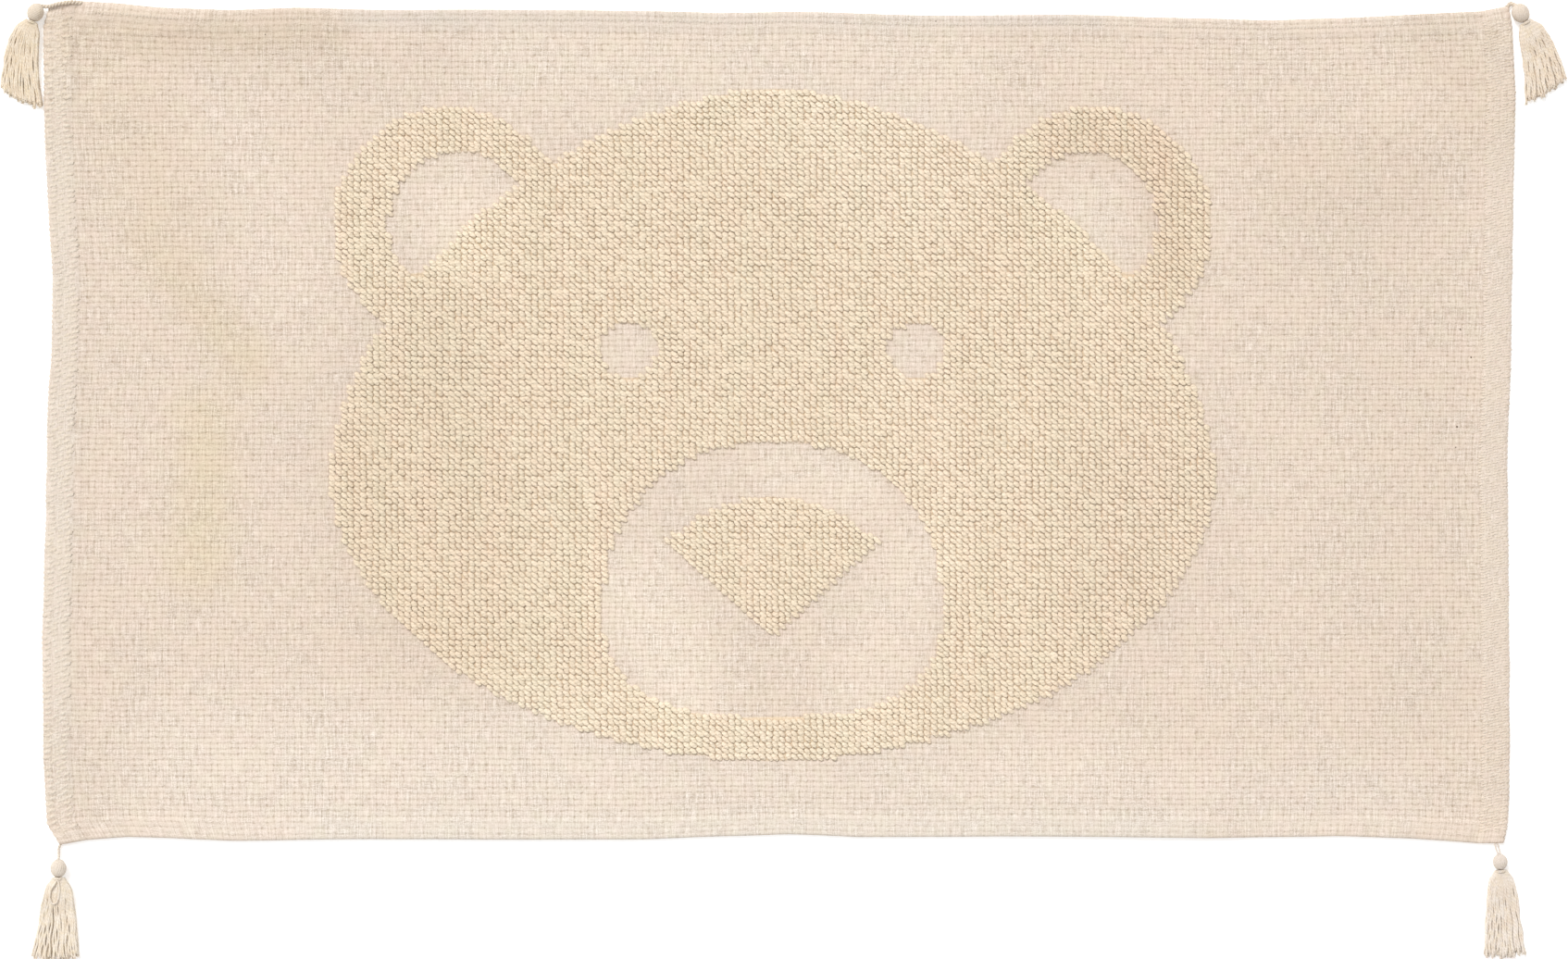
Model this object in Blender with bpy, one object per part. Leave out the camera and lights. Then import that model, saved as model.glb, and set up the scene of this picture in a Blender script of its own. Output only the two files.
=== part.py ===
"""Bear shaped kids rug.

A flat cotton rug with a plain woven ground, four turned hems, a bear face woven in with raised
loops, and a cotton tassel lying off each corner.  Metres, +Z up; +X runs along the rug and +Y to
the bear's ears.  The rug lies on Z = 0, and the origin is the middle of the whole footprint.
"""

import math
import random
from collections import namedtuple

import bmesh
import bpy
from mathutils import Matrix, Vector

MM = 0.001

# ---- driving sizes, in millimetres -------------------------------------------------------------

LENGTH = 1200.0
WIDTH = 674.0
CLOTH_THICK = 3.0
HEM_RISE = 1.2          # the hems are two layers, pressed flat
END_HEM = 23.0          # band along the two short ends
SIDE_HEM = 17.0         # band along the two long sides
HEM_STEP = 2.0          # width of the slope from a hem down to the ground weave
RIM_ROUND = 1.0         # rounding of the folded edge
CORNER_FLAT = 3.6       # small flat across each corner, where a tassel cord comes out

LOOP_WIDE = 5.4         # one loop of the bear, along a row
ROW_HIGH = 4.65         # from one row of loops to the next
LOOP_RISE = 3.0         # the crest of a row of loops stands this high above the ground weave
ROW_DIP = 1.3           # and the rows dip this far between their crests
FACET_LOOPS = 14        # loops along one facet of the cloth
FACET_ROWS = 12         # rows across one facet
FINE_COLUMNS = 5        # facets each way from the middle that are divided into loops
FINE_ROWS = 5
EXTRA_COLUMNS = 2       # plain facets beyond those, towards each short end

BEAR_X = -5.3           # the bear's middle line

SEAT = 0.3              # gap between a tassel cord and the cloth that carries it
CORD_STRAIGHT = 4.2     # the cord runs straight out of the corner for this length

CORD_THICK = 3.0
CORD_SIDES = 8
CORD_SAG = 0.8          # it hangs this much between the corner and the tassel's ball
CORD_CLEAR = 0.1        # and it starts this high above the floor

STRAND_COLUMNS = 10     # strands side by side in a tassel's skirt
STRAND_LAYERS = 4       # strands on top of each other
STRAND_THICK = 1.6
STRAND_PARTS = 3        # straight lengths in each strand
ROOT_INSET = 0.12       # half the gap between two strands where they leave the collar
LAYER_PITCH = 1.84      # from one layer of strands to the next, once they lie level
LAYER_NARROWS = 0.03    # each layer spreads less than the one under it, by this share
FLARE_BEND = 0.8        # below 1 the skirt flares early, above 1 late
SWEEP_BEND = 1.7        # the skirt's sideways sweep grows towards the tips
FALL_PART = 0.45        # share of a strand's length in which it comes down to its level
LENGTH_SCATTER = 0.05   # share by which strands are cut longer or shorter
SIDE_SCATTER = 0.35     # strands stray sideways by up to this at their tips

# How far each edge lies outside its straight line, along the edge from its middle.
EdgeRow = namedtuple("EdgeRow", "along out")

FAR_EDGE = (
    EdgeRow(-600, 8.0), EdgeRow(-578, 11.0), EdgeRow(-545, 9.0), EdgeRow(-507, 5.0),
    EdgeRow(-450, 3.5), EdgeRow(-393, 5.0), EdgeRow(-336, 3.5), EdgeRow(-222, 3.5),
    EdgeRow(-108, 2.7), EdgeRow(-51, 1.2), EdgeRow(6, 2.0), EdgeRow(120, -1.1),
    EdgeRow(234, -0.3), EdgeRow(291, -1.8), EdgeRow(405, -4.9), EdgeRow(462, -3.4),
    EdgeRow(519, -0.3), EdgeRow(578, 2.5), EdgeRow(600, 7.0),
)
NEAR_EDGE = (
    EdgeRow(-600, 7.3), EdgeRow(-578, 3.5), EdgeRow(-545, 1.2), EdgeRow(-507, 2.0),
    EdgeRow(-450, 4.3), EdgeRow(-336, 2.7), EdgeRow(-165, 3.5), EdgeRow(-108, 2.7),
    EdgeRow(-51, 0.5), EdgeRow(6, -1.1), EdgeRow(63, 1.2), EdgeRow(234, 0.5),
    EdgeRow(348, 2.0), EdgeRow(462, 0.5), EdgeRow(519, 2.0), EdgeRow(578, 6.0),
    EdgeRow(600, 5.8),
)
LEFT_EDGE = (
    EdgeRow(-337, -10.0), EdgeRow(-322, 0.5), EdgeRow(-274, 3.4), EdgeRow(-168, 4.2),
    EdgeRow(-92, 1.9), EdgeRow(-1, 0.4), EdgeRow(30, -1.1), EdgeRow(60, -3.4),
    EdgeRow(121, -4.2), EdgeRow(182, -0.4), EdgeRow(242, 2.7), EdgeRow(322, 3.2),
    EdgeRow(337, -2.0),
)
RIGHT_EDGE = (
    EdgeRow(-337, -6.0), EdgeRow(-322, -2.6), EdgeRow(-274, -1.1), EdgeRow(-168, -1.9),
    EdgeRow(-31, -3.4), EdgeRow(60, -0.4), EdgeRow(151, 1.1), EdgeRow(212, 2.2),
    EdgeRow(273, 3.4), EdgeRow(322, 1.0), EdgeRow(337, -2.0),
)

# Soft folds that lift the cloth off the floor: from one point to another, height, half width.
Fold = namedtuple("Fold", "from_x from_y to_x to_y height reach")

FOLDS = (
    Fold(-530, 262, -486, 120, 3.5, 75),
    Fold(-486, 120, -400, 48, 3.0, 70),
    Fold(-440, 12, -372, 8, 1.6, 45),
    Fold(-590, -120, -560, -250, 2.0, 60),
    Fold(-500, 318, -300, 324, 2.6, 60),
    Fold(70, 318, 180, 236, 2.2, 70),
    Fold(386, 160, 528, 228, 3.2, 75),
    Fold(205, -306, 350, -316, 2.4, 55),
    Fold(48, -100, 50, -262, 1.6, 60),
    Fold(470, -60, 540, -190, 2.0, 80),
)

# The bear face: half width, reach above and below the centre, and how square each half is.
Oval = namedtuple("Oval", "x y half_wide up down up_square down_square")

HEAD = Oval(0, -39, 363, 315, 236, 1.7, 1.95)
MUZZLE = Oval(0, -153, 139, 139, 87, 2.2, 2.6)
EAR = Oval(265, 164, 96, 96, 96, 2.0, 2.0)
INNER_EAR = Oval(257, 166, 58, 58, 58, 2.0, 2.0)
EYE = Oval(118, 61, 23, 23, 23, 2.0, 2.0)
NOSE_TOP = -59.0
NOSE_CORNER = -97.0
NOSE_TIP = -176.0
NOSE_HALF = 89.0

# A tassel's head and collar, from the crown of the ball down to where the strands come out.
HeadRow = namedtuple("HeadRow", "along half_wide half_high middle_z")

BALL_ROW = 3            # the widest row of the ball
HEAD_ROWS = (
    HeadRow(-8.4, 2.2, 2.0, 6.2), HeadRow(-6.6, 4.9, 4.4, 6.3), HeadRow(-3.4, 6.5, 5.9, 6.4),
    HeadRow(0.5, 7.0, 6.4, 6.4), HeadRow(4.6, 6.3, 5.8, 6.2), HeadRow(8.2, 4.7, 4.5, 5.8),
    HeadRow(10.2, 4.5, 4.2, 5.5), HeadRow(12.2, 6.6, 4.4, 5.1), HeadRow(16.0, 9.6, 4.5, 4.6),
)

# Where each tassel lies: its corner, the middle of its ball, the way its skirt points (turned
# from -Y), how far the tips sweep sideways, the width across the tips and the strands' length.
Tassel = namedtuple("Tassel", "name end side head_x head_y turn sweep spread length")

TASSELS = (
    Tassel("tassel_far_left", -1, 1, -609, 339, -25.7, 19.0, 34, 56),
    Tassel("tassel_far_right", 1, 1, 609, 338, 30.4, -13.5, 37, 57),
    Tassel("tassel_near_left", -1, -1, -592, -362, -1.5, -1.0, 38, 59),
    Tassel("tassel_near_right", 1, -1, 591, -359, 4.2, -1.5, 31, 59),
)

SMOOTH_DEG = 65         # facets that meet at less than this are shaded as one soft surface

CLOTH_LOOK = ("cotton_weave", (0.81, 0.69, 0.56), 0.95)
TASSEL_LOOK = ("cotton_tassel_yarn", (0.80, 0.69, 0.54), 0.9)


# ---- the uneven outline and the folds ----------------------------------------------------------

def clamp(value):
    return min(max(value, 0.0), 1.0)


def fine_reach():
    """How far the facets that are divided into loops reach from the middle."""
    return FINE_COLUMNS * FACET_LOOPS * LOOP_WIDE, FINE_ROWS * FACET_ROWS * ROW_HIGH


def read_edge(rows, along):
    """How far the edge lies out at one place along it, straight between the table's rows."""
    if along <= rows[0].along:
        return rows[0].out
    for low, high in zip(rows, rows[1:]):
        if along <= high.along:
            share = (along - low.along) / (high.along - low.along)
            return low.out + share * (high.out - low.out)
    return rows[-1].out


def place(x, y):
    """A point of the even, rectangular cloth, moved to where it lies on the real one."""
    fine_x, fine_y = fine_reach()
    follow_x = clamp((abs(x) - fine_x) / (LENGTH / 2 - fine_x))
    follow_y = clamp((abs(y) - fine_y) / (WIDTH / 2 - fine_y))
    out_x = read_edge(RIGHT_EDGE, y) if x > 0 else -read_edge(LEFT_EDGE, y)
    out_y = read_edge(FAR_EDGE, x) if y > 0 else -read_edge(NEAR_EDGE, x)
    return Vector((x + follow_x * out_x, y + follow_y * out_y))


def lift(x, y):
    """Height of the cloth's underside above the floor: the highest fold at this place."""
    height = 0.0
    for fold in FOLDS:
        start = Vector((fold.from_x, fold.from_y))
        run = Vector((fold.to_x, fold.to_y)) - start
        point = Vector((x, y)) - start
        share = clamp(point.dot(run) / run.length_squared)
        far = (point - run * share).length / fold.reach
        if far < 1.0:
            height = max(height, fold.height * (0.5 + 0.5 * math.cos(math.pi * far)))
    return height


def corner_seat(end, side):
    """The middle of the small flat across a corner, and the way it faces."""
    tip = place(end * LENGTH / 2, side * WIDTH / 2)
    along_side = place(end * (LENGTH / 2 - END_HEM), side * WIDTH / 2) - tip
    along_end = place(end * LENGTH / 2, side * (WIDTH / 2 - SIDE_HEM)) - tip
    half_angle = along_side.angle(along_end) / 2
    outward = -(along_side.normalized() + along_end.normalized()).normalized()
    return tip - outward * (CORNER_FLAT / 2 / math.tan(half_angle)), outward


# ---- the bear face -----------------------------------------------------------------------------

def in_oval(oval, x, y):
    """True inside an oval whose upper and lower halves have their own reach and squareness."""
    rise = y - oval.y
    reach = oval.up if rise > 0 else oval.down
    square = oval.up_square if rise > 0 else oval.down_square
    return (abs(x - oval.x) / oval.half_wide) ** square + (abs(rise) / reach) ** square <= 1.0


def in_nose(x, y):
    """True inside a triangle on its tip with an arched upper side."""
    arch = NOSE_TOP + (NOSE_CORNER - NOSE_TOP) * (x / NOSE_HALF) ** 2
    half = NOSE_HALF * (y - NOSE_TIP) / (NOSE_CORNER - NOSE_TIP)
    return y <= arch and abs(x) <= half


def has_loops(x, y):
    """True where the weft is pulled up in loops; the face is the same left and right."""
    x = abs(x - BEAR_X)
    if in_oval(EYE, x, y):
        return False
    if in_oval(MUZZLE, x, y):
        return in_nose(x, y)
    ear = in_oval(EAR, x, y) and not in_oval(INNER_EAR, x, y)
    return in_oval(HEAD, x, y) or ear


# ---- building ----------------------------------------------------------------------------------

def clear_scene():
    for thing in list(bpy.data.objects):
        bpy.data.objects.remove(thing, do_unlink=True)


def make_material(look):
    name, colour, roughness = look
    material = bpy.data.materials.new(name)
    material.use_nodes = True
    shader = material.node_tree.nodes["Principled BSDF"]
    shader.inputs["Base Color"].default_value = (*colour, 1.0)
    shader.inputs["Roughness"].default_value = roughness
    shader.inputs["Metallic"].default_value = 0.0
    return material


def make_object(name, mesh_builder, look=None):
    """Turn a bmesh in millimetres into an object in metres."""
    bmesh.ops.scale(mesh_builder, vec=(MM, MM, MM), verts=mesh_builder.verts)
    bmesh.ops.recalc_face_normals(mesh_builder, faces=mesh_builder.faces)
    mesh = bpy.data.meshes.new(name)
    mesh_builder.to_mesh(mesh)
    mesh_builder.free()
    mesh.shade_smooth()
    mesh.set_sharp_from_angle(angle=math.radians(SMOOTH_DEG))
    thing = bpy.data.objects.new(name, mesh)
    bpy.context.scene.collection.objects.link(thing)
    if look:
        mesh.materials.append(make_material(look))
    return thing


def facet_lines():
    """The even cloth's facet lines along X and along Y, hems included."""
    columns = range(-FINE_COLUMNS - EXTRA_COLUMNS, FINE_COLUMNS + EXTRA_COLUMNS + 1)
    inner_x = [BEAR_X + column * FACET_LOOPS * LOOP_WIDE for column in columns]
    inner_y = [row * FACET_ROWS * ROW_HIGH for row in range(-FINE_ROWS, FINE_ROWS + 1)]
    hem_x = (LENGTH / 2 - END_HEM - HEM_STEP, LENGTH / 2 - END_HEM, LENGTH / 2)
    hem_y = (WIDTH / 2 - SIDE_HEM - HEM_STEP, WIDTH / 2 - SIDE_HEM, WIDTH / 2)
    lines_x = sorted(inner_x + [sign * line for line in hem_x for sign in (-1, 1)])
    lines_y = sorted(inner_y + [sign * line for line in hem_y for sign in (-1, 1)])
    return lines_x, lines_y


def make_even_slab():
    """The cloth as a closed, even slab of facets, before its loops, hems and folds."""
    lines_x, lines_y = facet_lines()
    columns = len(lines_x) - 1
    rows = len(lines_y) - 1
    bm = bmesh.new()
    bmesh.ops.create_grid(bm, x_segments=columns, y_segments=rows, size=0.5)
    for vert in bm.verts:
        column = round((vert.co.x + 0.5) * columns)
        row = round((vert.co.y + 0.5) * rows)
        vert.co = Vector((lines_x[column], lines_y[row], 0.0))
    top = bmesh.ops.extrude_face_region(bm, geom=list(bm.faces), use_keep_orig=True)["geom"]
    top_verts = [item for item in top if isinstance(item, bmesh.types.BMVert)]
    bmesh.ops.translate(bm, verts=top_verts, vec=(0, 0, CLOTH_THICK))
    bmesh.ops.recalc_face_normals(bm, faces=bm.faces)
    return bm


def round_rows(bm, loops):
    """Raise a crest along the middle of each row of loops."""
    rows = {}
    for face in loops:
        rows.setdefault(math.floor(face.calc_center_median().y / ROW_HIGH), []).append(face)
    for row, faces in rows.items():
        edges = {edge for face in faces for edge in face.edges}
        verts = {vert for face in faces for vert in face.verts}
        cut = bmesh.ops.bisect_plane(bm, geom=[*faces, *edges, *verts],
                                     plane_co=(0, (row + 0.5) * ROW_HIGH, 0),
                                     plane_no=(0, 1, 0))["geom_cut"]
        crest = [item for item in cut if isinstance(item, bmesh.types.BMVert)]
        bmesh.ops.translate(bm, verts=crest, vec=(0, 0, ROW_DIP))


def fine_faces(bm):
    """The upper faces of the facets that are divided into loops."""
    fine_x, fine_y = fine_reach()
    found = []
    for face in bm.faces:
        middle = face.calc_center_median()
        inside = abs(middle.x - BEAR_X) < fine_x and abs(middle.y) < fine_y
        if inside and face.normal.z > 0.5:
            found.append(face)
    return found


def raise_loops(bm):
    """Divide the middle facets into loops and raise those that the bear is made of."""
    for edge in bm.edges:
        edge.seam = True
    for axis, parts in ((0, FACET_LOOPS), (1, FACET_ROWS)):
        edges = {edge for face in fine_faces(bm) for edge in face.edges
                 if abs(edge.verts[0].co[axis] - edge.verts[1].co[axis]) > LOOP_WIDE}
        bmesh.ops.subdivide_edges(bm, edges=list(edges), cuts=parts - 1)
    loops = [face for face in fine_faces(bm) if has_loops(*face.calc_center_median().xy)]
    raised = bmesh.ops.extrude_face_region(bm, geom=loops)["geom"]
    bmesh.ops.delete(bm, geom=loops, context="FACES")
    raised_verts = [item for item in raised if isinstance(item, bmesh.types.BMVert)]
    raised_faces = [item for item in raised if isinstance(item, bmesh.types.BMFace)]
    bmesh.ops.translate(bm, verts=raised_verts, vec=(0, 0, LOOP_RISE - ROW_DIP))
    round_rows(bm, raised_faces)
    bmesh.ops.dissolve_limit(bm, angle_limit=math.radians(1), verts=bm.verts,
                             edges=bm.edges, delimit={"SEAM"})


def lay_cloth(bm):
    """Thicken the hems, move the edges to their uneven lines and lift the folds."""
    for vert in bm.verts:
        x, y, z = vert.co
        in_hem = (abs(x) > LENGTH / 2 - END_HEM - HEM_STEP / 2
                  or abs(y) > WIDTH / 2 - SIDE_HEM - HEM_STEP / 2)
        if in_hem and z > 0:
            z += HEM_RISE
        x, y = place(x, y)
        vert.co = Vector((x, y, z + lift(x, y)))


def finish_edges(bm):
    """Cut the small flats across the corners and round the folded edge."""
    corners = []
    for end in (-1, 1):
        for side in (-1, 1):
            tip = place(end * LENGTH / 2, side * WIDTH / 2)
            corners += [edge for edge in bm.edges
                        if all((vert.co.xy - tip).length < 0.01 for vert in edge.verts)]
    bmesh.ops.bevel(bm, geom=corners, offset=CORNER_FLAT, offset_type="WIDTH", segments=1,
                    profile=0.5, affect="EDGES", material=-1)
    rim = [edge for edge in bm.edges if len(edge.link_faces) == 2
           and min(face.normal.z for face in edge.link_faces) < 0.5
           and max(face.normal.z for face in edge.link_faces) > 0.9
           and min(vert.co.z for vert in edge.verts) > CLOTH_THICK
           and all(abs(vert.co.x) > LENGTH / 2 - END_HEM / 2
                   or abs(vert.co.y) > WIDTH / 2 - SIDE_HEM / 2 for vert in edge.verts)]
    bmesh.ops.bevel(bm, geom=rim, offset=RIM_ROUND, segments=1, profile=0.5,
                    affect="EDGES", material=-1)


def build_cloth():
    bm = make_even_slab()
    raise_loops(bm)
    bmesh.ops.triangulate(bm, faces=[face for face in bm.faces if len(face.verts) > 4])
    lay_cloth(bm)
    finish_edges(bm)
    bmesh.ops.triangulate(bm, faces=bm.faces)
    return make_object("rug_cloth", bm, CLOTH_LOOK)


def build_head(bm):
    """The collar's end as a grid of strand roots, its rim drawn back over the ball."""
    bmesh.ops.create_grid(bm, x_segments=STRAND_COLUMNS, y_segments=STRAND_LAYERS, size=1.0)
    roots = list(bm.faces)
    last = HEAD_ROWS[-1]
    for vert in bm.verts:
        across, up = vert.co.x, vert.co.y
        round_x = across * math.sqrt(1 - up * up / 2)
        round_z = up * math.sqrt(1 - across * across / 2)
        vert.co = Vector((round_x * last.half_wide, -last.along,
                          last.middle_z + round_z * last.half_high))
    ring = [edge for edge in bm.edges if edge.is_boundary]
    for row, before in zip(HEAD_ROWS[-2::-1], HEAD_ROWS[:0:-1]):
        drawn = bmesh.ops.extrude_edge_only(bm, edges=ring)["geom"]
        ring = [item for item in drawn if isinstance(item, bmesh.types.BMEdge)]
        for vert in {vert for edge in ring for vert in edge.verts}:
            vert.co.x *= row.half_wide / before.half_wide
            vert.co.y = -row.along
            rise = vert.co.z - before.middle_z
            vert.co.z = row.middle_z + rise * row.half_high / before.half_high
    bmesh.ops.edgeloop_fill(bm, edges=ring)
    return roots


def strand_middle(tassel, across, layer, down, stray):
    """Where a strand runs, in the tassel's own frame: down is 0 at the collar, 1 at the tips."""
    last = HEAD_ROWS[-1]
    half_spread = tassel.spread / 2 * (1 - LAYER_NARROWS * layer)
    half_wide = last.half_wide + down ** FLARE_BEND * (half_spread - last.half_wide)
    root_z = last.middle_z + last.half_high * ((2 * layer + 1) / STRAND_LAYERS - 1)
    level_z = STRAND_THICK / 2 + layer * LAYER_PITCH
    x = across * half_wide + tassel.sweep * down ** SWEEP_BEND + stray * down
    y = -last.along - down * tassel.length
    return Vector((x, y, root_z + clamp(down / FALL_PART) * (level_z - root_z)))


def build_strands(bm, tassel, roots, chance):
    """Draw each root of the collar out into a four-sided strand that comes to lie level."""
    bmesh.ops.inset_individual(bm, faces=roots, thickness=ROOT_INSET)
    last = HEAD_ROWS[-1]
    half = STRAND_THICK / 2
    for root in roots:
        middle = root.calc_center_median()
        across = middle.x / last.half_wide
        rise = (middle.z - last.middle_z) / last.half_high
        layer = min(int((rise + 1) / 2 * STRAND_LAYERS), STRAND_LAYERS - 1)
        cut = chance.uniform(-LENGTH_SCATTER, LENGTH_SCATTER)
        reach = 1 - LENGTH_SCATTER * abs(across) + cut
        stray = chance.uniform(-SIDE_SCATTER, SIDE_SCATTER)
        face = root
        for part in range(1, STRAND_PARTS + 1):
            down = reach * part / STRAND_PARTS
            target = strand_middle(tassel, across, layer, down, stray)
            drawn = bmesh.ops.extrude_discrete_faces(bm, faces=[face])["faces"]
            face = drawn[0]
            centre = face.calc_center_median()
            for vert in face.verts:
                side_x = math.copysign(half, vert.co.x - centre.x)
                side_z = math.copysign(half, vert.co.z - centre.z)
                vert.co = target + Vector((side_x, 0, side_z))


def build_cord(tassel):
    """The short hanging cord, from the cloth's corner to the middle of the tassel's ball."""
    seat, outward = corner_seat(tassel.end, tassel.side)
    radius = CORD_THICK / 2
    start = (seat + outward * SEAT).to_3d() + Vector((0, 0, radius + CORD_CLEAR))
    straight = start + outward.to_3d() * CORD_STRAIGHT
    ball = Vector((tassel.head_x, tassel.head_y, HEAD_ROWS[BALL_ROW].middle_z))
    points = (start, straight, straight.lerp(ball, 0.5) - Vector((0, 0, CORD_SAG)), ball)
    bm = bmesh.new()
    rings = []
    for number, point in enumerate(points):
        ahead = points[min(number + 1, len(points) - 1)] - point
        behind = point - points[max(number - 1, 0)]
        heading = ahead + behind if number else ahead
        turn = heading.to_track_quat("Z", "Y").to_matrix().to_4x4()
        ring = bmesh.ops.create_circle(bm, segments=CORD_SIDES, radius=radius,
                                       matrix=Matrix.Translation(point) @ turn)["verts"]
        rings.append({edge for vert in ring for edge in vert.link_edges})
    for lower, upper in zip(rings, rings[1:]):
        bmesh.ops.bridge_loops(bm, edges=list(lower | upper))
    for end in (rings[0], rings[-1]):
        bmesh.ops.edgeloop_fill(bm, edges=list(end))
    cord = make_object(tassel.name + "_cord", bm)
    cord.hide_render = True
    cord.display_type = "WIRE"
    return cord


def build_tassel(tassel, chance):
    bm = bmesh.new()
    roots = build_head(bm)
    build_strands(bm, tassel, roots, chance)
    thing = make_object(tassel.name, bm, TASSEL_LOOK)
    thing.location = (tassel.head_x * MM, tassel.head_y * MM, 0)
    thing.rotation_euler.z = math.radians(tassel.turn)
    join = thing.modifiers.new("hanging cord", "BOOLEAN")
    join.operation = "UNION"
    join.solver = "EXACT"
    join.object = build_cord(tassel)
    return thing


def centre_on_origin(things):
    """Put the middle of the whole footprint on the origin."""
    bpy.context.view_layer.update()
    graph = bpy.context.evaluated_depsgraph_get()
    corners = []
    for thing in things:
        mesh = thing.evaluated_get(graph).data
        corners += [thing.matrix_world @ vert.co for vert in mesh.vertices]
    middle_x = (min(corner.x for corner in corners) + max(corner.x for corner in corners)) / 2
    middle_y = (min(corner.y for corner in corners) + max(corner.y for corner in corners)) / 2
    for thing in bpy.data.objects:
        thing.location.x -= middle_x
        thing.location.y -= middle_y


def main():
    clear_scene()
    chance = random.Random(7)
    things = [build_cloth()]
    things += [build_tassel(tassel, chance) for tassel in TASSELS]
    centre_on_origin(things)


main()
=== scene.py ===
"""Looks of the bear shaped kids rug.

The rug is a flat cotton cloth in undyed yarn, with a ground of fine weft rows, four turned hems, a
bear face in raised weft loops, and a cotton tassel on a short cord at each corner.  It lies on a
pale floor and is seen from straight above.  Sizes are millimetres in the cloth's own frame, whose
zero is the middle of the cloth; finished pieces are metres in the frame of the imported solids.
"""

import math
import random
from collections import namedtuple
from functools import partial

import bmesh
import bpy
from mathutils import Matrix, Vector, noise


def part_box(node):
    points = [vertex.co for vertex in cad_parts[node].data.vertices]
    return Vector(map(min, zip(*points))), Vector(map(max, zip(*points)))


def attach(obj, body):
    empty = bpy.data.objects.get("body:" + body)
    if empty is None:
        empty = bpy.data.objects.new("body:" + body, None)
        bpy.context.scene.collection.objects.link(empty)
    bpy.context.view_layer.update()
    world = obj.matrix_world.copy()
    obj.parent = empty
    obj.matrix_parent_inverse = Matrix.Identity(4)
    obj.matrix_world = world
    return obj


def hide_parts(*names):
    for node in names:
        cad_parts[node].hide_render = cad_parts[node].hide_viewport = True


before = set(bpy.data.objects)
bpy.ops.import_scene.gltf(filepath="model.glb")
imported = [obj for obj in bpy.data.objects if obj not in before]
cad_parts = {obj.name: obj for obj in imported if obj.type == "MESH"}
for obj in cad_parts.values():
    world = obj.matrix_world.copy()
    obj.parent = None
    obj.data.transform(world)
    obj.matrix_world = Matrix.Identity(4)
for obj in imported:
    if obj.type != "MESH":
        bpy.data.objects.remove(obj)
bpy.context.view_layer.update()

MM = 0.001
BODY = "root"

# ---- the cloth: the same driving sizes as the solids ----

LENGTH = 1200.0
WIDTH = 674.0
CLOTH_THICK = 3.0
END_HEM = 23.0
SIDE_HEM = 17.0
HEM_STEP = 2.0
HEM_OPEN = 0.65         # how much more of the weave the hems show near the long sides:
HEM_OPEN_FROM = 200.0   # this far off the middle it begins, and it grows over the next length
HEM_OPEN_RUN = 60.0
RIM_ROUND = 1.2
CORNER_FLAT = 3.6
FINE_REACH_X = 378.0    # inside this the cloth is even, outside it follows its uneven edges
FINE_REACH_Y = 279.0

WEFT_ROWS = 151         # rows of the ground weave from edge to edge
WEFT_PITCH = WIDTH / WEFT_ROWS
WARP_PITCH = 2.8        # from one gap between warp threads to the next
LINES_A_ROW = 3         # grid lines of the sheet to each weft row
MIDDLE_COLUMNS = 108
END_LINES = (0.0, 2.4, 5.0, 8.0, 12.0, 16.0, 19.5, 21.5, 23.0, 25.0, 27.0, 30.0, 37.0)

RIB_HIGH = 0.14         # the weft rows of the ground stand this high between their grooves
SCALLOP = 0.9           # each weft row turns back this far outside the groove at the short ends
SCALLOP_REACH = 6.0
ROW_WANDER = 0.7        # weft rows and warps wander by up to this
WANDER_LONG = 70.0
WANDER_SHORT = 26.0
WANDER_APART = Vector((9.0, 4.0, 2.0))  # the two drifts are read this far apart

LOOP_WIDE = 5.2
ROW_HIGH = 4.65
BEAR_X = -5.3

EdgeRow = namedtuple("EdgeRow", "along out")

# Height of the hems over the plain ground, by the distance from the edge.
END_PROFILE = [EdgeRow(*row) for row in (
    (0, 0.9), (5, 1.2), (19.5, 1.1), (23, 0.35), (25, 0.55), (27, 0.4), (30, 0),
)]
SIDE_PROFILE = [EdgeRow(*row) for row in (
    (0, 0.8), (3, 0.95), (8, 0.8), (9.5, 0.5), (11, 0.65), (13.7, 0.65), (15.5, 0.4), (17, 0.1),
    (19, 0),
)]

# How far each edge of the cloth lies outside a straight one, by the place along it.
FAR_EDGE = [EdgeRow(*row) for row in (
    (-600, 8), (-578, 11), (-545, 9), (-507, 5), (-450, 3.5), (-393, 5), (-336, 3.5), (-222, 3.5),
    (-108, 2.7), (-51, 1.2), (6, 2), (120, -1.1), (234, -0.3), (291, -1.8), (405, -4.9),
    (462, -3.4), (519, -0.3), (578, 2.5), (600, 7),
)]
NEAR_EDGE = [EdgeRow(*row) for row in (
    (-600, 7.3), (-578, 3.5), (-545, 1.2), (-507, 2), (-450, 4.3), (-336, 2.7), (-165, 3.5),
    (-108, 2.7), (-51, 0.5), (6, -1.1), (63, 1.2), (234, 0.5), (348, 2), (462, 0.5), (519, 2),
    (578, 6), (600, 5.8),
)]
LEFT_EDGE = [EdgeRow(*row) for row in (
    (-337, -10), (-322, 0.5), (-274, 3.4), (-168, 4.2), (-92, 1.9), (-1, 0.4), (30, -1.1),
    (60, -3.4), (121, -4.2), (182, -0.4), (242, 2.7), (322, 3.2), (337, -2),
)]
RIGHT_EDGE = [EdgeRow(*row) for row in (
    (-337, -6), (-322, -2.6), (-274, -1.1), (-168, -1.9), (-31, -3.4), (60, -0.4), (151, 1.1),
    (212, 2.2), (273, 3.4), (322, 1), (337, -2),
)]

# A soft band from one point to another: its height in the middle and its half width.
Band = namedtuple("Band", "from_x from_y to_x to_y height reach")

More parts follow.
